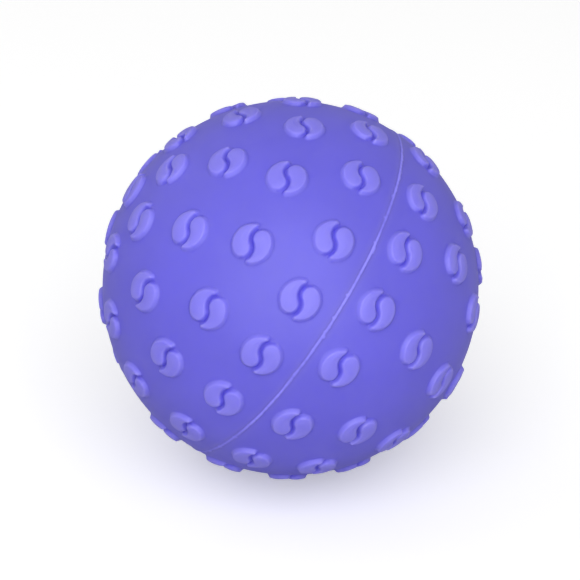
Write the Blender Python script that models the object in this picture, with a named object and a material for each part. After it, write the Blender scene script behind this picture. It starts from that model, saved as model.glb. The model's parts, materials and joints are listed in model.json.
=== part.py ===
"""Hollow soft-PVC massage ball with yin-yang nubs and a push-in air stopper.

The ball is built about a polar axis that is square to its joining line: +Z runs to the upper pole, the
stopper sits at the lower pole, and longitude zero lies on +X. An empty then turns the whole ball to rest
with its upper pole leaning to -X. Lengths are in metres, angles in degrees.
"""

import math

import bmesh
import bpy
from mathutils import Matrix, Vector

# Ball
BALL_RADIUS = 0.0375
WALL = 0.0022
AXIS_LEAN = -55.0
MERIDIAN_TURN = -67.5

# Nubs: a disc split into two commas by an S-shaped groove
NUB_RADIUS = 0.0037
NUB_GROOVE = 0.0010
NUB_HEIGHT = 0.0009
NUB_DRAFT = 0.0002
NUB_ROOT = 0.0005
NUB_TURN = -38.5
TAIL_BLUNT = 6.0

# Rings of nubs: latitude, first longitude, first steps to the east, number of even steps round the rest
UPPER_RINGS = (
    (11.0, -40.5, (19.5, 19.5, 19.5), 13),
    (30.5, -110.5, (38.8, 25.7, 25.7, 25.7, 25.7, 25.7, 25.7), 7),
    (49.6, -2.0, (), 10),
    (69.3, 83.9, (68.6, 68.6, 68.6), 3),
    (87.5, 0.0, (), 1),
)
LOWER_RINGS = (
    (-9.4, -12.0, (19.5, 19.5, 19.5), 13),
    (-29.0, -78.1, (24.3, 24.3, 34.0, 34.0, 24.3, 34.5), 8),
    (-49.0, 0.0, (), 10),
    (-69.3, -52.5, (57.0, 76.0), 4),
)

# Joining line
GAP = 0.0003
WELD_WIDTH = 0.0009
WELD_PROUD = 0.0003
RIM_OFFSET = WELD_WIDTH / 2 + GAP

# Air valve, given along the axis that runs out through the lower pole
SOCKET_RADIUS = 0.0043
SOCKET_FLANGE_RADIUS = 0.0072
SOCKET_FLANGE_THICKNESS = 0.0013
SOCKET_FOOT = 0.0290
SOCKET_FACE = 0.0375
SEAT_RADIUS = 0.0033
SEAT_DEPTH = 0.0016
BORE_RADIUS = 0.0021
STOPPER_HEAD_RADIUS = 0.0030
STOPPER_SHAFT_RADIUS = 0.0018
STOPPER_TIP_RADIUS = 0.0011
STOPPER_TIP_TAPER = 0.0012
STOPPER_FACE = 0.0377
STOPPER_FOOT = 0.0283

# Facets
SHARP_ANGLE = 35.0
BALL_STEPS = 32
BALL_ARC_STEPS = 8
INNER_ARC_STEPS = 6
VALVE_STEPS = 20


def clear_scene():
    for item in list(bpy.data.objects):
        bpy.data.objects.remove(item, do_unlink=True)


def material(name, colour, roughness):
    result = bpy.data.materials.new(name)
    result.use_nodes = True
    shader = result.node_tree.nodes["Principled BSDF"]
    shader.inputs["Base Color"].default_value = (*colour, 1.0)
    shader.inputs["Roughness"].default_value = roughness
    shader.inputs["Metallic"].default_value = 0.0
    return result


def add_object(name, shape, surface, parent):
    mesh = bpy.data.meshes.new(name)
    bmesh.ops.recalc_face_normals(shape, faces=shape.faces)
    shape.to_mesh(mesh)
    shape.free()
    mesh.shade_smooth()
    mesh.set_sharp_from_angle(angle=math.radians(SHARP_ANGLE))
    mesh.materials.append(surface)
    result = bpy.data.objects.new(name, mesh)
    bpy.context.scene.collection.objects.link(result)
    result.parent = parent
    return result


def arc(radius, start, end, steps, centre=(0.0, 0.0)):
    """Points on an arc, both ends included, at angles in degrees from +X."""
    points = []
    for index in range(steps + 1):
        angle = math.radians(start + (end - start) * index / steps)
        points.append((centre[0] + radius * math.cos(angle), centre[1] + radius * math.sin(angle)))
    return points


def turned(profile, steps, closed):
    """Spin a profile of (radius, height) points round Z; an open profile has both ends on the axis."""
    shape = bmesh.new()
    verts = [shape.verts.new((radius, 0.0, height)) for radius, height in profile]
    edges = [shape.edges.new(pair) for pair in zip(verts, verts[1:])]
    if closed:
        edges.append(shape.edges.new((verts[-1], verts[0])))
    bmesh.ops.spin(shape, geom=verts + edges, cent=(0, 0, 0), axis=(0, 0, 1),
                   angle=2 * math.pi, steps=steps, use_merge=True)
    bmesh.ops.remove_doubles(shape, verts=shape.verts, dist=1e-7)
    return shape


def wall_profile(side, hole_radius):
    """Section of a half shell from its pole, down its outer side to the rim, and back up its inner side."""
    outside = (BALL_RADIUS, BALL_ARC_STEPS, True)
    inside = (BALL_RADIUS - WALL, INNER_ARC_STEPS, False)
    profile = []
    for radius, steps, outward in (outside, inside):
        top = math.degrees(math.acos(hole_radius / radius))
        rim = math.degrees(math.asin(RIM_OFFSET / radius))
        start, end = (top, rim) if outward else (rim, top)
        profile += [(max(x, 0.0), side * z) for x, z in arc(radius, start, end, steps)]
    return profile


def comma_outline(inset):
    """One comma of a nub, in the nub's own plane, drawn back from its full outline by inset."""
    head = (NUB_RADIUS - NUB_GROOVE / 2) / 2
    offset = NUB_RADIUS - head
    tail_x = (NUB_RADIUS ** 2 - offset * NUB_GROOVE - NUB_GROOVE ** 2 / 4) / (2 * offset)
    tail_y = math.sqrt(NUB_RADIUS ** 2 - tail_x ** 2)
    tail = math.degrees(math.atan2(tail_y, tail_x))
    hollow_end = math.degrees(math.atan2(tail_y, tail_x - offset)) + 2 * TAIL_BLUNT
    back = arc(NUB_RADIUS - inset, tail + TAIL_BLUNT, 180.0, 4)
    brow = arc(head - inset, 180.0, 360.0, 3, centre=(-offset, 0.0))
    hollow = arc(head + NUB_GROOVE + inset, 180.0, hollow_end, 3, centre=(offset, 0.0))
    return back + brow[1:-1] + hollow


def nub_frame(latitude, longitude):
    """Matrix at the ball's centre: X to the east, Y to the upper pole, Z out through the nub."""
    spin = Matrix.Rotation(math.radians(longitude), 4, "Z")
    lift = Matrix.Rotation(math.radians(90.0 - latitude), 4, "Y")
    quarter = Matrix.Rotation(math.radians(90.0 + NUB_TURN), 4, "Z")
    return spin @ lift @ quarter


def on_sphere(point, radius):
    """Lay a point of the nub's plane on a sphere, keeping its arc distance from the nub's centre."""
    distance = math.hypot(*point)
    angle = distance / BALL_RADIUS
    across = radius * math.sin(angle) / distance
    return Vector((point[0] * across, point[1] * across, radius * math.cos(angle)))


def add_comma(shape, placing):
    foot = [placing @ on_sphere(point, BALL_RADIUS - NUB_ROOT) for point in comma_outline(0.0)]
    top = [placing @ on_sphere(point, BALL_RADIUS + NUB_HEIGHT) for point in comma_outline(NUB_DRAFT)]
    low = [shape.verts.new(place) for place in foot]
    high = [shape.verts.new(place) for place in top]
    shape.faces.new(high)
    shape.faces.new(list(reversed(low)))
    count = len(low)
    for index in range(count):
        after = (index + 1) % count
        shape.faces.new((low[index], low[after], high[after], high[index]))


def ring_longitudes(first, steps, even_count):
    even_step = (360.0 - sum(steps)) / even_count
    longitude = first
    for step in steps + (even_step,) * even_count:
        yield longitude
        longitude += step


def nubs(rings):
    shape = bmesh.new()
    half_turn = Matrix.Rotation(math.pi, 4, "Z")
    for latitude, *layout in rings:
        for longitude in ring_longitudes(*layout):
            placing = nub_frame(latitude, longitude)
            add_comma(shape, placing)
            add_comma(shape, placing @ half_turn)
    return shape


def half_shell(name, side, rings, hole_radius, surface, parent):
    wall = turned(wall_profile(side, hole_radius), BALL_STEPS, closed=hole_radius > 0)
    shell = add_object(name, wall, surface, parent)
    cutter = add_object(name + "_nubs", nubs(rings), surface, parent)
    cutter.hide_render = True
    cutter.display_type = "WIRE"
    union = shell.modifiers.new("nubs", "BOOLEAN")
    union.operation = "UNION"
    union.solver = "EXACT"
    union.object = cutter
    return shell


def seam_weld(surface, parent):
    inner = BALL_RADIUS - WALL
    outer = BALL_RADIUS + WELD_PROUD
    half = WELD_WIDTH / 2
    edge = BALL_RADIUS - WELD_PROUD / 2
    profile = [
        (edge, half), (outer, half / 2), (outer, -half / 2), (edge, -half), (inner, -half), (inner, half),
    ]
    return add_object("seam_weld", turned(profile, BALL_STEPS * 2, closed=True), surface, parent)


def valve_socket(surface, parent):
    under_wall = math.sqrt((BALL_RADIUS - WALL) ** 2 - SOCKET_FLANGE_RADIUS ** 2) - GAP
    flange_foot = under_wall - SOCKET_FLANGE_THICKNESS
    seat = SOCKET_FACE - SEAT_DEPTH
    profile = [
        (SEAT_RADIUS, SOCKET_FACE), (SOCKET_RADIUS, SOCKET_FACE), (SOCKET_RADIUS, under_wall),
        (SOCKET_FLANGE_RADIUS, under_wall), (SOCKET_FLANGE_RADIUS, flange_foot), (SOCKET_RADIUS, flange_foot),
        (SOCKET_RADIUS, SOCKET_FOOT), (BORE_RADIUS, SOCKET_FOOT), (BORE_RADIUS, seat), (SEAT_RADIUS, seat),
    ]
    shape = turned(outward_down(profile), VALVE_STEPS, closed=True)
    return add_object("valve_socket", shape, surface, parent)


def stopper(surface, parent):
    head_foot = SOCKET_FACE - SEAT_DEPTH + GAP
    bevel = GAP
    profile = [
        (0.0, STOPPER_FACE), (STOPPER_HEAD_RADIUS - bevel, STOPPER_FACE),
        (STOPPER_HEAD_RADIUS, STOPPER_FACE - bevel), (STOPPER_HEAD_RADIUS, head_foot),
        (STOPPER_SHAFT_RADIUS, head_foot), (STOPPER_SHAFT_RADIUS, STOPPER_FOOT + STOPPER_TIP_TAPER),
        (STOPPER_TIP_RADIUS, STOPPER_FOOT), (0.0, STOPPER_FOOT),
    ]
    shape = turned(outward_down(profile), VALVE_STEPS, closed=False)
    return add_object("stopper", shape, surface, parent)


def outward_down(profile):
    """The valve's distances run out through the lower pole, which is down in the ball's own frame."""
    return [(radius, -distance) for radius, distance in profile]


def polar_axis():
    """The empty that carries the ball: turned about its poles first, then leaned to -X."""
    result = bpy.data.objects.new("polar_axis", None)
    bpy.context.scene.collection.objects.link(result)
    result.rotation_mode = "ZYX"
    result.rotation_euler = (0.0, math.radians(AXIS_LEAN), math.radians(MERIDIAN_TURN))
    return result


def main():
    clear_scene()
    axis = polar_axis()
    pvc = (0.19, 0.17, 0.86)
    half_shell("upper_half_shell", 1, UPPER_RINGS, 0.0, material("upper_half", pvc, 0.5), axis)
    hole = SOCKET_RADIUS + GAP
    half_shell("lower_half_shell", -1, LOWER_RINGS, hole, material("lower_half", pvc, 0.5), axis)
    seam_weld(material("weld", (0.25, 0.23, 0.90), 0.5), axis)
    valve_socket(material("socket", (0.16, 0.14, 0.75), 0.5), axis)
    stopper(material("stopper", (0.20, 0.18, 0.85), 0.45), axis)


main()
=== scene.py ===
"""Visual model of a hollow soft-PVC massage ball, built round its CAD frame as a Blender add-on.

The ball is modelled upright about its poles, with the stopper at the lower pole, and each finished mesh is
then turned into the resting pose of the frame, where the stopper's pull gives the poles' direction.
"""

import json
import math

import bmesh
import bpy
from bpy.props import FloatProperty, FloatVectorProperty, PointerProperty
from mathutils import Matrix, Vector, noise
from mathutils.kdtree import KDTree

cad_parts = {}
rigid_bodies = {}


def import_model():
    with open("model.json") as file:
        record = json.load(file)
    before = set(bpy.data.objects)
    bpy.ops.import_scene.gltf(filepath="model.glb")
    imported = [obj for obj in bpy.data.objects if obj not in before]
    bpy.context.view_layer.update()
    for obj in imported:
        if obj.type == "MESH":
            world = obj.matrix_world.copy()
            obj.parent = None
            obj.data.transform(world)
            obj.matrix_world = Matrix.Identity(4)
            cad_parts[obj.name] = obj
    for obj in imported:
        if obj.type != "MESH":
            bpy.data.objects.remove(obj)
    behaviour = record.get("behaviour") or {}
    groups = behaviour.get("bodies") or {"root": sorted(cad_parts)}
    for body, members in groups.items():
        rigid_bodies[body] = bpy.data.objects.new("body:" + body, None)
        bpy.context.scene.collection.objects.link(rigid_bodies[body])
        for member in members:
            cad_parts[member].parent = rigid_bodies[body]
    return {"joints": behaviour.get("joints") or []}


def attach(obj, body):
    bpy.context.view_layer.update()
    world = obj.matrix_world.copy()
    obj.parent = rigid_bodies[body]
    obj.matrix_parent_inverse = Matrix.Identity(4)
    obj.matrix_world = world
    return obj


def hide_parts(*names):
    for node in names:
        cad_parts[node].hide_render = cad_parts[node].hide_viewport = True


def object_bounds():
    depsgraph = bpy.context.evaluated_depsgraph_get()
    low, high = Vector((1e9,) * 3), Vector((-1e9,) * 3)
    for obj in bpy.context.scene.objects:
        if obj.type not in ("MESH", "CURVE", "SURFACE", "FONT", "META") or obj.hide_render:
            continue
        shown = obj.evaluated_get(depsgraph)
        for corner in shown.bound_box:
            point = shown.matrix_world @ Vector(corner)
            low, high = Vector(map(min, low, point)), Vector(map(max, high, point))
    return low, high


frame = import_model()
cad_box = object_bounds()

bl_info = {
    "name": "Massage ball",
    "version": (1, 0, 0),
    "blender": (4, 5, 0),
    "location": "3D View > Sidebar > Massage ball",
    "description": "Soft PVC ball with yin-yang nubs, a joining bead and an air stopper",
    "category": "Object",
}

MM = 0.001
# Per-vertex value that picks the PVC's colour: painted shade in the nubs' grooves, painted light on their crowns and
# sides, and the paler rim band and bead.
PAINTED_LIGHT_AND_TONE = "painted_light_and_tone"

# Pose of the ball in the frame: the stopper pulls out through the lower pole
PULL = Vector(frame["joints"][0]["axis"]).normalized()
AXIS_LEAN = math.atan2(-PULL.x, -PULL.z)
MERIDIAN_TURN = math.radians(-67.5)
POSE = Matrix.Rotation(AXIS_LEAN, 4, "Y") @ Matrix.Rotation(MERIDIAN_TURN, 4, "Z")

# Rings of nubs: latitude, first longitude, first steps to the east, number of even steps round the rest
UPPER_RINGS = (
    (11.0, -40.5, (19.5, 19.5, 19.5), 13),
    (30.5, -110.5, (38.8, 25.7, 25.7, 25.7, 25.7, 25.7, 25.7), 7),
    (49.6, -2.0, (), 10),
    (69.3, 83.9, (68.6, 68.6, 68.6), 3),
    (87.5, 0.0, (), 1),
)
LOWER_RINGS = (
    (-9.4, -12.0, (19.5, 19.5, 19.5), 13),
    (-29.0, -78.1, (24.3, 24.3, 34.0, 34.0, 24.3, 34.5), 8),
    (-49.0, 0.0, (), 10),
    (-69.3, -52.5, (57.0, 76.0), 4),
)
NUB_TURN = -38.5
STAGE_REACH = 30.0
SOFTBOX_DISTANCE = 1.4


def linear(colour):
    """An sRGB hex colour as linear red, green and blue."""
    channels = [int(colour[start:start + 2], 16) / 255 for start in (1, 3, 5)]
    return [c / 12.92 if c <= 0.04045 else ((c + 0.055) / 1.055) ** 2.4 for c in channels]


def length_property(name, description, millimetres):
    return FloatProperty(name=name, description=description, default=millimetres * MM, min=0.0,
                         subtype="DISTANCE", unit="LENGTH", precision=5)


def colour_property(name, description, colour):
    return FloatVectorProperty(name=name, description=description, default=linear(colour), size=3,
                               min=0.0, max=1.0, subtype="COLOR")


class BallSizes(bpy.types.PropertyGroup):
    """Sizes of the hollow ball and of the bead that joins its halves."""

    radius: length_property("Radius", "Outside radius of the wall, under the nubs", 37.5)
    wall: length_property("Wall", "Thickness of the moulded PVC", 2.2)
    out_of_round: length_property("Out of round", "How far the soft wall is drawn in across one axis", 0.22)
    bead_width: length_property("Bead width", "Width of the joining bead", 0.7)
    bead_height: length_property("Bead height", "How far the joining bead stands up", 0.18)


class NubSizes(bpy.types.PropertyGroup):
    """Sizes of one yin-yang nub."""

    radius: length_property("Radius", "Radius of the whole nub, both commas together", 3.64)
    groove: length_property("Groove", "Width of the S-shaped groove between the commas", 0.84)
    height: length_property("Height", "Height of a comma at its edge", 0.86)
    dome: length_property("Dome", "Extra height in the middle of a comma's head", 0.12)
    tail: length_property("Tail radius", "Rounding of a comma's tail", 0.32)
    foot: length_property("Foot fillet", "Radius where a comma runs into the ball", 0.46)
    edge: length_property("Edge round", "Radius of a comma's top edge", 0.4)
    slope: FloatProperty(name="Side slope", description="How steeply a comma's side rises from the ball",
                         default=math.radians(57), subtype="ANGLE", unit="ROTATION")


class ValveSizes(bpy.types.PropertyGroup):
    """Sizes of the air valve in the lower pole."""

    hole: length_property("Hole radius", "Radius of the hole in the lower half", 4.45)
    socket: length_property("Socket radius", "Outside radius of the socket", 4.3)
    depth: length_property("Socket depth", "Length of the socket from its face to its foot", 8.5)
    flange: length_property("Flange radius", "Radius of the flange bonded inside the wall", 7.2)
    flange_thickness: length_property("Flange thickness", "Thickness of that flange", 1.3)
    seat: length_property("Seat radius", "Radius of the recess for the stopper's head", 3.3)
    seat_depth: length_property("Seat depth", "Depth of that recess", 1.6)
    bore: length_property("Bore radius", "Radius of the bore for the stopper's shaft", 2.1)
    head: length_property("Head radius", "Radius of the stopper's head", 3.0)
    shaft: length_property("Shaft radius", "Radius of the stopper's shaft", 1.8)
    stopper_proud: length_property("Stopper proud", "How far the stopper's face stands out of the socket", 0.2)
    dimple: length_property("Dimple", "Depth of the shallow dimple in the stopper's face", 0.25)
    gap: length_property("Gap", "Clearance between neighbouring pieces", 0.3)
    edge: length_property("Edge round", "Radius of the socket's and stopper's edges", 0.35)


class PvcColours(bpy.types.PropertyGroup):
    """Colours of the pigmented PVC."""

    wall: colour_property("Wall", "Colour of the thin wall", "#6E67DE")
    # Painted shade: this darker colour stands in for the shade in the nubs' grooves.
    foot: colour_property("Foot", "Deeper colour where the PVC is drawn thin round a nub", "#6D62E2")
    # Painted light: this paler colour stands in for the light on the nubs' crowns and sides.
    nub: colour_property("Nub", "Paler colour where the PVC is thicker", "#8780EA")
    # The bead's paler colour, strongest along its middle and on its flash.
    bead: colour_property("Bead", "Pale colour of the stressed, scuffed bead", "#938CFF")
    socket: colour_property("Socket", "Colour of the valve's socket", "#675FD8")
    floor: colour_property("Floor", "Pale studio paper", "#F4F4F4")


# Modelling helpers


def only(piece):
    """Make one object the selected and active one."""
    for item in bpy.context.view_layer.objects:
        item.select_set(False)
    piece.select_set(True)
    bpy.context.view_layer.objects.active = piece


def named(name):
    """The primitive that was just added, under its own name."""
    piece = bpy.context.active_object
    piece.name = name
    piece.data.name = name
    only(piece)
    return piece


def apply_modifier(piece, kind, **settings):
    only(piece)
    modifier = piece.modifiers.new(kind.title(), kind)
    for key, value in settings.items():
        setattr(modifier, key, value)
    bpy.ops.object.modifier_apply(modifier=modifier.name)


def copy_of(piece, placing):
    """A copy with its own mesh, moved by a matrix."""
    twin = piece.copy()
    twin.data = piece.data.copy()
    twin.data.transform(placing)
    bpy.context.scene.collection.objects.link(twin)
    return twin


def join(pieces, name):
    only(pieces[0])
    for piece in pieces[1:]:
        piece.select_set(True)
    bpy.ops.object.join()
    return named(name)


def boolean(piece, cutter, operation):
    apply_modifier(piece, "BOOLEAN", operation=operation, solver="MANIFOLD", object=cutter)
    bpy.data.objects.remove(cutter, do_unlink=True)


def settle(piece, finish):
    """Turn a finished mesh from the upright ball into the frame's pose, smooth it and give it its finish."""
    piece.data.transform(POSE)
    only(piece)
    bpy.ops.object.shade_smooth_by_angle(angle=math.radians(40))
    piece.data.materials.clear()
    piece.data.materials.append(finish)


def soften(piece, sizes):
    """Draw the soft wall in a little across one axis, as a hollow ball does after moulding."""
    across = Vector((0.35, 0.80, 0.48)).normalized()
    for vertex in piece.data.vertices:
        reach = vertex.co.length
        if reach < 1e-9:
            continue
        lean = (vertex.co.dot(across) / reach) ** 2
        vertex.co *= 1.0 - sizes.out_of_round * (lean - 1 / 3) / sizes.radius


def arc(centre, radius, start, end, steps):
    """Points along an arc, first point included and last left out, at angles in radians."""
    points = []
    for index in range(steps):
        angle = start + (end - start) * index / steps
        points.append((centre[0] + radius * math.cos(angle), centre[1] + radius * math.sin(angle)))
    return points


# The nub


def comma_centres(nub, tail):
    """The head's radius, its centre's distance from the nub's, and the centre of a tail of this radius."""
    head = (nub.radius - nub.groove / 2) / 2
    reach = nub.radius - head
    tail_x = ((nub.radius - tail) ** 2 - (head + nub.groove + tail) ** 2 + reach ** 2) / (2 * reach)
    return head, reach, tail_x, math.sqrt((nub.radius - tail) ** 2 - tail_x ** 2)


def comma_outline(nub, inset):
    """One comma's outline, drawn in from the full outline by inset, anticlockwise.

    Four arcs that stay tangent at any inset: the nub's rim, the tail, the hollow that leaves the groove
    round the other comma's head, and this comma's own head.
    """
    tail = max(nub.tail, inset + 0.01 * MM)
    head, reach, tail_x, tail_y = comma_centres(nub, tail)
    rim_end = math.atan2(tail_y, tail_x)
    hollow_start = math.atan2(tail_y, tail_x - reach)
    points = arc((0, 0), nub.radius - inset, math.pi, rim_end, 16)
    points += arc((tail_x, tail_y), tail - inset, rim_end, hollow_start - math.pi, 6)
    points += arc((reach, 0), head + nub.groove + inset, hollow_start, math.pi, 12)
    points += arc((-reach, 0), head - inset, 0.0, -math.pi, 12)
    return points[::-1]


def nub_section(nub):
    """The comma's section as (inset, height) pairs, from under the wall up to the crown of the head."""
    slope = nub.slope
    edge_foot = nub.height - nub.edge * (1 - math.cos(slope))
    fillet_top = nub.foot * (1 - math.cos(slope))
    edge_inset = nub.edge * (1 - math.sin(slope))
    fillet_inset = edge_inset - (edge_foot - fillet_top) / math.tan(slope)
    start = fillet_inset - nub.foot * math.sin(slope)
    section = [(start - 0.02 * MM, -0.3 * MM), (start, -0.012 * MM)]
    for share in (0.3, 0.55, 0.8, 1.0):
        angle = share * slope
        section.append((start + nub.foot * math.sin(angle), nub.foot * (1 - math.cos(angle))))
    for share in (0.0, 0.25, 0.5, 0.75, 1.0):
        angle = slope * (1 - share)
        section.append((nub.edge * (1 - math.sin(angle)), nub.height - nub.edge * (1 - math.cos(angle))))
    head = (nub.radius - nub.groove / 2) / 2
    for share in (0.25, 0.5, 0.75, 0.95):
        inset = nub.edge + share * (head - nub.edge)
        section.append((inset, nub.height + nub.dome * (1 - (1 - share) ** 2)))
    return section


def on_ball(point, radius, height):
    """A point of the nub's plane laid on the ball round the upper pole."""
    distance = math.hypot(*point)
    angle = distance / radius
    across = (radius + height) * math.sin(angle) / max(distance, 1e-9)
    return Vector((point[0] * across, point[1] * across, (radius + height) * math.cos(angle)))


def raise_rings(name, rings):
    """A closed solid that starts as a flat face on the first ring and is extruded through all the others."""
    bpy.ops.mesh.primitive_circle_add(vertices=len(rings[0]), radius=MM, fill_type="NGON")
    piece = named(name)
    bpy.ops.object.mode_set(mode="EDIT")
    bpy.ops.mesh.select_all(action="SELECT")
    for index, ring in enumerate(rings):
        if index:
            bpy.ops.mesh.extrude_region_move()
        shape = bmesh.from_edit_mesh(piece.data)
        face = next(face for face in shape.faces if face.select)
        for vertex, point in zip(face.verts, ring):
            vertex.co = point
        bmesh.update_edit_mesh(piece.data)
    bpy.ops.object.mode_set(mode="OBJECT")
    return piece


def model_nub(sizes, nub):
    """Both commas of a nub at the upper pole, run together at their feet."""
    rings = []
    for inset, height in nub_section(nub):
        rings.append([on_ball(point, sizes.radius, height) for point in comma_outline(nub, inset)])
    comma = raise_rings("nub", rings)
    boolean(comma, copy_of(comma, Matrix.Rotation(math.pi, 4, "Z")), "UNION")
    return comma


def depth_inside(point, nub):
    """How far a point of the nub's plane lies inside a comma's outline, negative outside both commas."""
    head, reach, tail_x, tail_y = comma_centres(nub, nub.tail)
    rim_end = math.atan2(tail_y, tail_x)
    hollow_start = math.atan2(tail_y, tail_x - reach)
    depths = []
    for x, y in (point, (-point[0], -point[1])):
        if y <= 0.0:
            depths.append(head - math.hypot(x + reach, y))
        elif math.atan2(y, x) < rim_end and math.atan2(y, x - reach) < hollow_start:
            depths.append(nub.tail - math.hypot(x - tail_x, y - tail_y))
        else:
            depths.append(min(nub.radius - math.hypot(x, y), math.hypot(x - reach, y) - head - nub.groove))
    return max(depths)


def nub_places(rings):
    """Matrices that carry the nub from the upper pole to each place."""
    turn = Matrix.Rotation(math.radians(90.0 + NUB_TURN), 4, "Z")
    for latitude, longitude, steps, even_count in rings:
        lift = Matrix.Rotation(math.radians(90.0 - latitude), 4, "Y")
        even_step = (360.0 - sum(steps)) / even_count
        for step in steps + (even_step,) * even_count:
            yield Matrix.Rotation(math.radians(longitude), 4, "Z") @ lift @ turn
            longitude += step


def smooth(value, low, high):
    share = min(1.0, max(0.0, (value - low) / (high - low)))
    return share * share * (3.0 - 2.0 * share)


def mark_painted_light_and_shade(half, sizes, nub, places, rim_paleness):
    """Store painted light and shade for the PVC's colour: 0, painted shade, at a nub's foot and in its groove, 0.5 on
    the wall, 1, painted light, on its crown.

    A band along the rim is a little paler too.
    """
    centres = KDTree(len(places))
    for index, placing in enumerate(places):
        centres.insert(placing @ Vector((0.0, 0.0, 1.0)), index)
    centres.balance()
    homewards = [placing.inverted() for placing in places]
    values = []
    for vertex in half.data.vertices:
        aim = vertex.co.normalized()
        _, index, away = centres.find(aim)
        if away * sizes.radius > nub.radius + 2 * nub.foot:
            # Away from the nubs: the wall's value, with a paler band along the rim.
            from_rim = abs(vertex.co.z)
            values.append(0.5 + rim_paleness * (1.0 - smooth(from_rim, 0.1 * MM, 1.2 * MM)))
            continue
        aim = homewards[index] @ aim
        stretch = sizes.radius * math.acos(min(1.0, aim.z)) / max(math.hypot(aim.x, aim.y), 1e-9)
        point = (aim.x * stretch, aim.y * stretch)
        depth = depth_inside(point, nub)
        rim_side = smooth(math.hypot(*point), nub.radius - nub.groove / 2, nub.radius)
        # Painted light: 1 on the crown, reaching down the commas' sides and, on the rim side, onto the foot fillet.
        crown = smooth(depth, -(0.5 + 0.8 * rim_side) * nub.foot, 0.3 * nub.edge * (1.0 - rim_side))
        # Painted shade: 0.3 in the groove between the commas, rising to the wall's 0.5 towards the nub's rim and away
        # from it.
        painted_shade_level = 0.3 + 0.2 * max(rim_side, smooth(-depth, 1.2 * nub.foot, 1.7 * nub.foot))
        values.append(painted_shade_level + (1.0 - painted_shade_level) * crown)
    store_painted_light_and_tone(half, values)


# Keeps the per-vertex value that picks the colour, painted light and shade included.
def store_painted_light_and_tone(piece, values):
    piece.data.attributes.new(PAINTED_LIGHT_AND_TONE, "FLOAT", "POINT").data.foreach_set("value", values)


# Materials


def add_node(tree, kind, settings=None, links=None):
    """Add a node, set its properties and sockets, and link other sockets into it."""
    node = tree.nodes.new(kind)
    for key, value in (settings or {}).items():
        if hasattr(node, key) and key not in node.inputs:
            setattr(node, key, value)
        else:
            node.inputs[key].default_value = value
    for key, source in (links or {}).items():
        tree.links.new(source, node.inputs[key])
    return node


def new_material(name):
    material = bpy.data.materials.new(name)
    material.use_nodes = True
    tree = material.node_tree
    return material, tree, tree.nodes["Principled BSDF"]


def set_sockets(shader, values):
    for key, value in values.items():
        shader.inputs[key].default_value = value


SOFT_PVC = {
    "Metallic": 0.0,
    "Roughness": 0.5,
    "IOR": 1.53,
    "Subsurface Weight": 1.0,
    "Subsurface Radius": (1.0, 1.0, 1.0),
    "Subsurface Scale": 0.0016,
    "Subsurface Anisotropy": 0.0,
}


def moulded_pvc(name, painted_shade_colour, wall_colour, painted_light_and_pale_colour):
    """Plasticised PVC from a blasted mould: satin and a little waxy, coloured from a ramp on a stored value: the first
    colour at 0 for painted shade, the second at 0.5, the last at 1 for painted light on nubs and for the bead's paler
    colour.
    """
    material, tree, shader = new_material(name)
    set_sockets(shader, SOFT_PVC)
    place = add_node(tree, "ShaderNodeTexCoord").outputs["Object"]
    # Painted light and shade: the stored per-vertex value picks the colour from the ramp.
    light_and_tone_node = add_node(tree, "ShaderNodeAttribute", {"attribute_name": PAINTED_LIGHT_AND_TONE})
    paint = add_node(tree, "ShaderNodeValToRGB", links={"Fac": light_and_tone_node.outputs["Fac"]})
    paint.color_ramp.elements.new(0.5)
    for stop, place_on_ramp, colour in zip(paint.color_ramp.elements, (0.0, 0.5, 1.0),
                                           (painted_shade_colour, wall_colour, painted_light_and_pale_colour)):
        stop.position = place_on_ramp
        stop.color = (*colour, 1.0)
    cloud = add_node(tree, "ShaderNodeTexNoise", {"Scale": 1 / (14 * MM), "Detail": 3.0}, {"Vector": place})
    patch = add_node(tree, "ShaderNodeMapRange", {
        "From Min": 0.3, "From Max": 0.7, "To Min": 0.97, "To Max": 1.04,
    }, {"Value": cloud.outputs["Fac"]})
    mottle = add_node(tree, "ShaderNodeVectorMath", {"operation": "SCALE"}, {
        0: paint.outputs["Color"], "Scale": patch.outputs["Result"],
    })
    tree.links.new(mottle.outputs["Vector"], shader.inputs["Base Color"])
    grain = add_node(tree, "ShaderNodeTexNoise", {"Scale": 1 / (0.35 * MM), "Detail": 2.0}, {"Vector": place})
    peel = add_node(tree, "ShaderNodeTexNoise", {"Scale": 1 / (5 * MM), "Detail": 1.0}, {"Vector": place})
    waves = add_node(tree, "ShaderNodeBump", {"Strength": 0.25, "Distance": 0.15 * MM}, {"Height": peel.outputs["Fac"]})
    bump = add_node(tree, "ShaderNodeBump", {"Strength": 0.12, "Distance": 0.02 * MM}, {
        "Height": grain.outputs["Fac"], "Normal": waves.outputs["Normal"],
    })
    tree.links.new(bump.outputs["Normal"], shader.inputs["Normal"])
    return material


def studio_paper(colour, bounce):
    """Matt white background paper, which throws less light back at the ball than the lens sees."""
    material, tree, shader = new_material("studio_paper")
    set_sockets(shader, {"Base Color": (*colour, 1.0), "Roughness": 0.9, "Specular IOR Level": 0.1})
    seen = add_node(tree, "ShaderNodeLightPath").outputs["Is Camera Ray"]
    set_sockets(shader, {"Emission Color": (1.0, 1.0, 1.0, 1.0), "Emission Strength": 0.32})
    dull = add_node(tree, "ShaderNodeBsdfDiffuse", {"Color": (bounce, bounce, bounce, 1.0)})
    mix = add_node(tree, "ShaderNodeMixShader", links={0: seen, 1: dull.outputs[0], 2: shader.outputs[0]})
    tree.links.new(mix.outputs[0], tree.nodes["Material Output"].inputs["Surface"])
    return material


# Pieces


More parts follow.
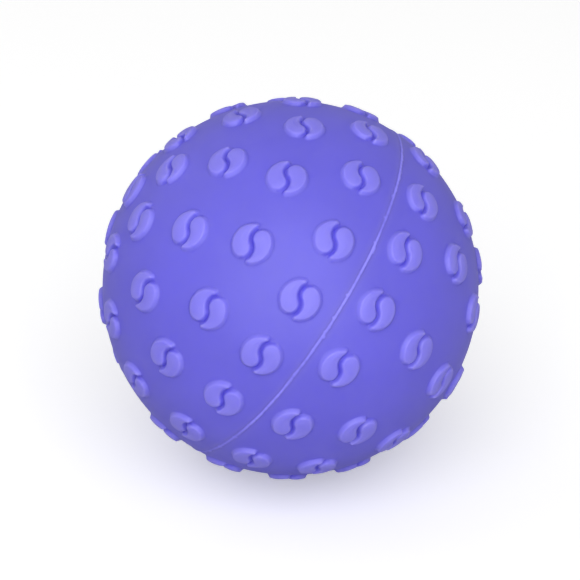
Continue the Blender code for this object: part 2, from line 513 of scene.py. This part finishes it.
def model_half(name, side, rings, node, hole):
    """One half of the ball: a hollow wall with its nubs united to it."""
    scene = bpy.context.scene
    sizes, nub, colours = scene.ball_sizes, scene.nub_sizes, scene.pvc_colours
    rim = 0.06 * MM
    bpy.ops.mesh.primitive_uv_sphere_add(segments=320, ring_count=160, radius=sizes.radius)
    half = named(name)
    bpy.ops.object.mode_set(mode="EDIT")
    bpy.ops.mesh.select_all(action="SELECT")
    bpy.ops.mesh.bisect(plane_co=(0, 0, side * rim), plane_no=(0, 0, side), clear_inner=True, use_fill=True)
    bpy.ops.object.mode_set(mode="OBJECT")
    bpy.ops.mesh.primitive_uv_sphere_add(segments=96, ring_count=48, radius=sizes.radius - sizes.wall)
    boolean(half, named(name + "_hollow"), "DIFFERENCE")
    pattern = model_nub(sizes, nub)
    places = list(nub_places(rings))
    nubs = [copy_of(pattern, placing) for placing in places]
    bpy.data.objects.remove(pattern, do_unlink=True)
    boolean(half, join(nubs, name + "_nubs"), "UNION")
    if hole:
        bpy.ops.mesh.primitive_cylinder_add(vertices=96, radius=hole, depth=4 * sizes.wall,
                                            location=(0, 0, side * (sizes.radius - sizes.wall / 2)))
        cutter = named(name + "_hole")
        bpy.ops.object.transform_apply(location=True)
        boolean(half, cutter, "DIFFERENCE")
    # Painted shade in the nubs' grooves and painted light on their crowns, from colours.foot and colours.nub.
    mark_painted_light_and_shade(half, sizes, nub, places, 0.22 if side > 0 else 0.12)
    soften(half, sizes)
    settle(half, moulded_pvc("moulded_soft_pvc_" + name, colours.foot, colours.wall, colours.nub))
    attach(half, "ball")
    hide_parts(node)
    return half


class MASSAGE_OT_upper_half(bpy.types.Operator):
    """Model the upper half with its nubs"""

    bl_idname = "massage.upper_half"
    bl_label = "Upper half"

    def execute(self, context):
        model_half("upper_half", 1, UPPER_RINGS, "upper_half_shell", 0.0)
        return {"FINISHED"}


class MASSAGE_OT_lower_half(bpy.types.Operator):
    """Model the lower half with its nubs and the hole for the valve"""

    bl_idname = "massage.lower_half"
    bl_label = "Lower half"

    def execute(self, context):
        model_half("lower_half", -1, LOWER_RINGS, "lower_half_shell", context.scene.valve_sizes.hole)
        return {"FINISHED"}


class MASSAGE_OT_bead(bpy.types.Operator):
    """Model the bead that joins the halves, with the flash that was pressed out beside it"""

    bl_idname = "massage.bead"
    bl_label = "Joining bead"

    def execute(self, context):
        sizes, colours = context.scene.ball_sizes, context.scene.pvc_colours
        half_width = sizes.bead_width / 2
        bpy.ops.mesh.primitive_circle_add(vertices=16, radius=half_width, location=(sizes.radius, 0.0, 0.0),
                                          rotation=(math.pi / 2, 0.0, 0.0))
        bead = named("joining_bead")
        bpy.ops.object.transform_apply(location=True, rotation=True, scale=True)
        bpy.ops.object.mode_set(mode="EDIT")
        bpy.ops.mesh.select_all(action="SELECT")
        bpy.ops.mesh.spin(steps=1440, angle=2 * math.pi, center=(0.0, 0.0, 0.0), axis=(0.0, 0.0, 1.0))
        bpy.ops.mesh.select_all(action="SELECT")
        bpy.ops.mesh.remove_doubles(threshold=0.001 * MM)
        bpy.ops.mesh.normals_make_consistent(inside=False)
        bpy.ops.object.mode_set(mode="OBJECT")
        paleness = []
        for vertex in bead.data.vertices:
            ring = Vector((vertex.co.x, vertex.co.y, 0.0)).normalized()
            rise = (vertex.co.dot(ring) - sizes.radius) / half_width
            side = vertex.co.z / half_width
            fade = smooth(noise.noise(ring * 4.0 + Vector((5, 0, 2))), -0.3, 0.35)
            nicks = smooth(noise.noise(ring * 45.0), -0.5, 0.1)
            flash = smooth(noise.noise(ring * 38.0 + Vector((0, 0, math.copysign(9.0, side)))), 0.2, 0.6)
            height = sizes.bead_height * (0.35 + 0.4 * fade + 0.25 * nicks)
            spread = side * (0.85 + 0.15 * nicks + 0.65 * flash * abs(side))
            drift = 0.05 * MM * noise.noise(ring * 9.0 + Vector((3, 1, 2)))
            vertex.co = ring * (sizes.radius + rise * height) + Vector((0, 0, spread * half_width + drift))
            # Paler along the bead's middle, fading in and out along the ring, and paler on the flash.
            core = 1.0 - smooth(abs(side), 0.25, 0.95)
            paleness.append(0.5 + 0.5 * core * (0.3 + 0.5 * fade + 0.2 * nicks) + 0.2 * flash * abs(side))
        store_painted_light_and_tone(bead, paleness)
        soften(bead, sizes)
        finish = moulded_pvc("fused_pvc_bead", colours.wall, colours.wall, colours.bead)
        finish.node_tree.nodes["Principled BSDF"].inputs["Subsurface Weight"].default_value = 0.0
        settle(bead, finish)
        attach(bead, "ball")
        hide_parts("seam_weld")
        return {"FINISHED"}


def turned(name, profile, steps=96):
    """A closed solid turned from (radius, distance) pairs along the axis out through the lower pole."""
    rings = []
    for radius, distance in profile:
        ring = []
        for index in range(steps):
            angle = -2 * math.pi * index / steps
            ring.append(Vector((radius * math.cos(angle), radius * math.sin(angle), -distance)))
        rings.append(ring)
    return raise_rings(name, rings)


def rounded(corners, radius, steps=5):
    """A profile through the corners, each of them but the first and last rounded by an arc."""
    points = [Vector(corners[0])]
    for before, corner, after in zip(corners, corners[1:], corners[2:]):
        before, corner, after = Vector(before), Vector(corner), Vector(after)
        back, ahead = before - corner, after - corner
        reach = min(radius, 0.45 * back.length, 0.45 * ahead.length)
        start, end = corner + back.normalized() * reach, corner + ahead.normalized() * reach
        for index in range(steps + 1):
            share = index / steps
            points.append((1 - share) ** 2 * start + 2 * share * (1 - share) * corner + share ** 2 * end)
    return points + [Vector(corners[-1])]


class MASSAGE_OT_valve_socket(bpy.types.Operator):
    """Model the flanged socket that is bonded into the lower pole"""

    bl_idname = "massage.valve_socket"
    bl_label = "Valve socket"

    def execute(self, context):
        sizes, valve, colours = context.scene.ball_sizes, context.scene.valve_sizes, context.scene.pvc_colours
        face = sizes.radius
        foot = face - valve.depth
        under_wall = math.sqrt((sizes.radius - sizes.wall) ** 2 - valve.flange ** 2) - valve.gap
        flange_foot = under_wall - valve.flange_thickness
        seat = face - valve.seat_depth
        socket = turned("valve_socket_bush", rounded([
            (0.1 * valve.bore, foot), (valve.socket, foot), (valve.socket, flange_foot),
            (valve.flange, flange_foot), (valve.flange, under_wall), (valve.socket, under_wall),
            (valve.socket, face), (0.1 * valve.bore, face),
        ], valve.edge))
        bore = turned("valve_bore", rounded([
            (0.1 * valve.bore, foot - valve.edge), (1.4 * valve.bore, foot - valve.edge), (valve.bore, foot + valve.edge),
            (valve.bore, seat), (valve.seat, seat), (valve.seat, face - valve.edge),
            (valve.seat + 1.6 * valve.edge, face + valve.edge), (0.1 * valve.bore, face + valve.edge),
        ], valve.edge / 2))
        boolean(socket, bore, "DIFFERENCE")
        settle(socket, moulded_pvc("moulded_soft_pvc_socket", colours.wall, colours.socket, colours.nub))
        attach(socket, "ball")
        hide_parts("valve_socket")
        return {"FINISHED"}


class MASSAGE_OT_stopper(bpy.types.Operator):
    """Model the push-in stopper with its rounded head and tapered tip"""

    bl_idname = "massage.stopper"
    bl_label = "Stopper"

    def execute(self, context):
        sizes, valve, colours = context.scene.ball_sizes, context.scene.valve_sizes, context.scene.pvc_colours
        face = sizes.radius + valve.stopper_proud
        head_foot = sizes.radius - valve.seat_depth + valve.gap
        tip = sizes.radius - valve.depth - 0.7 * MM
        plug = turned("stopper_plug", rounded([
            (0.1 * valve.shaft, tip), (0.6 * valve.shaft, tip), (valve.shaft, tip + 1.2 * MM),
            (valve.shaft, head_foot), (valve.head, head_foot), (valve.head, face),
            (0.62 * valve.head, face), (0.5 * valve.head, face - valve.dimple), (0.1 * valve.head, face - valve.dimple),
        ], valve.edge))
        settle(plug, moulded_pvc("moulded_firm_pvc_stopper", colours.wall, colours.nub, colours.nub))
        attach(plug, "stopper")
        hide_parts("stopper")
        return {"FINISHED"}


class MASSAGE_OT_stage(bpy.types.Operator):
    """Lay the pale floor and set the soft lights and the camera"""

    bl_idname = "massage.stage"
    bl_label = "Stage"

    def execute(self, context):
        scene = context.scene
        low, _ = cad_box
        bpy.ops.mesh.primitive_plane_add(size=STAGE_REACH * 2 * scene.ball_sizes.radius, location=(0, 0, low[2]))
        floor = named("floor")
        floor.data.materials.append(studio_paper(scene.pvc_colours.floor, 0.5))
        self.add_softbox("key_softbox", 23.8, 0.0, 32.0, 2.0)
        self.add_softbox("left_softbox", 1.8, -110.0, 40.0, 1.2)
        self.add_surroundings(scene, 0.40)
        self.add_camera(scene)
        scene.view_settings.view_transform = "Standard"
        return {"FINISHED"}

    def add_softbox(self, name, power, azimuth, elevation, side):
        """A square area light aimed at the ball's centre, turned from the front and raised by angles."""
        turn, lift = math.radians(azimuth), math.radians(elevation)
        place = Vector((math.sin(turn) * math.cos(lift), -math.cos(turn) * math.cos(lift), math.sin(lift)))
        place *= SOFTBOX_DISTANCE
        bpy.ops.object.light_add(type="AREA", location=place)
        lamp = bpy.context.active_object
        lamp.name = name
        lamp.data.shape = "SQUARE"
        lamp.data.size = side
        lamp.data.energy = power
        lamp.rotation_euler = (-place).to_track_quat("-Z", "Y").to_euler()

    def add_surroundings(self, scene, strength):
        """A white tent, dimmer as a light than it looks to the lens."""
        world = bpy.data.worlds.new("light_tent")
        world.use_nodes = True
        tree = world.node_tree
        tent = tree.nodes["Background"]
        set_sockets(tent, {"Color": (1.0, 1.0, 1.0, 1.0), "Strength": strength})
        seen = add_node(tree, "ShaderNodeLightPath").outputs["Is Camera Ray"]
        wall = add_node(tree, "ShaderNodeBackground", {"Color": (1.0, 1.0, 1.0, 1.0), "Strength": 0.98})
        mix = add_node(tree, "ShaderNodeMixShader", links={0: seen, 1: tent.outputs[0], 2: wall.outputs[0]})
        tree.links.new(mix.outputs[0], tree.nodes["World Output"].inputs["Surface"])
        scene.world = world

    def add_camera(self, scene):
        """Ten ball radii away, raised so that the poles' axis leans only sideways."""
        lift = math.radians(26.8)
        distance = 10 * scene.ball_sizes.radius
        place = Vector((0.0, -math.cos(lift), math.sin(lift))) * distance
        bpy.ops.object.camera_add(location=place, rotation=(math.pi / 2 - lift, 0.0, 0.0))
        camera = bpy.context.active_object
        camera.data.lens = 115.9
        camera.data.shift_x = -0.0009
        camera.data.shift_y = -0.0041
        camera.data.clip_start = 0.01
        scene.camera = camera


class MASSAGE_PT_panel(bpy.types.Panel):
    """Sizes, colours and the steps that build the ball"""

    bl_idname = "MASSAGE_PT_panel"
    bl_label = "Massage ball"
    bl_space_type = "VIEW_3D"
    bl_region_type = "UI"
    bl_category = "Massage ball"

    def draw(self, context):
        for group in (context.scene.ball_sizes, context.scene.nub_sizes, context.scene.valve_sizes,
                      context.scene.pvc_colours):
            box = self.layout.box()
            for key in group.__annotations__:
                box.prop(group, key)
        for step in STEPS:
            self.layout.operator(step.bl_idname)


GROUPS = {"ball_sizes": BallSizes, "nub_sizes": NubSizes, "valve_sizes": ValveSizes, "pvc_colours": PvcColours}
STEPS = (MASSAGE_OT_stage, MASSAGE_OT_upper_half, MASSAGE_OT_lower_half, MASSAGE_OT_bead,
         MASSAGE_OT_valve_socket, MASSAGE_OT_stopper)


def register():
    for kind in (*GROUPS.values(), *STEPS, MASSAGE_PT_panel):
        bpy.utils.register_class(kind)
    for name, kind in GROUPS.items():
        setattr(bpy.types.Scene, name, PointerProperty(type=kind))


def unregister():
    for name in GROUPS:
        delattr(bpy.types.Scene, name)
    for kind in reversed((*GROUPS.values(), *STEPS, MASSAGE_PT_panel)):
        bpy.utils.unregister_class(kind)


def main():
    register()
    bpy.ops.massage.stage()
    bpy.ops.massage.upper_half()
    bpy.ops.massage.lower_half()
    bpy.ops.massage.bead()
    bpy.ops.massage.valve_socket()
    bpy.ops.massage.stopper()


if __name__ == "__main__":
    main()
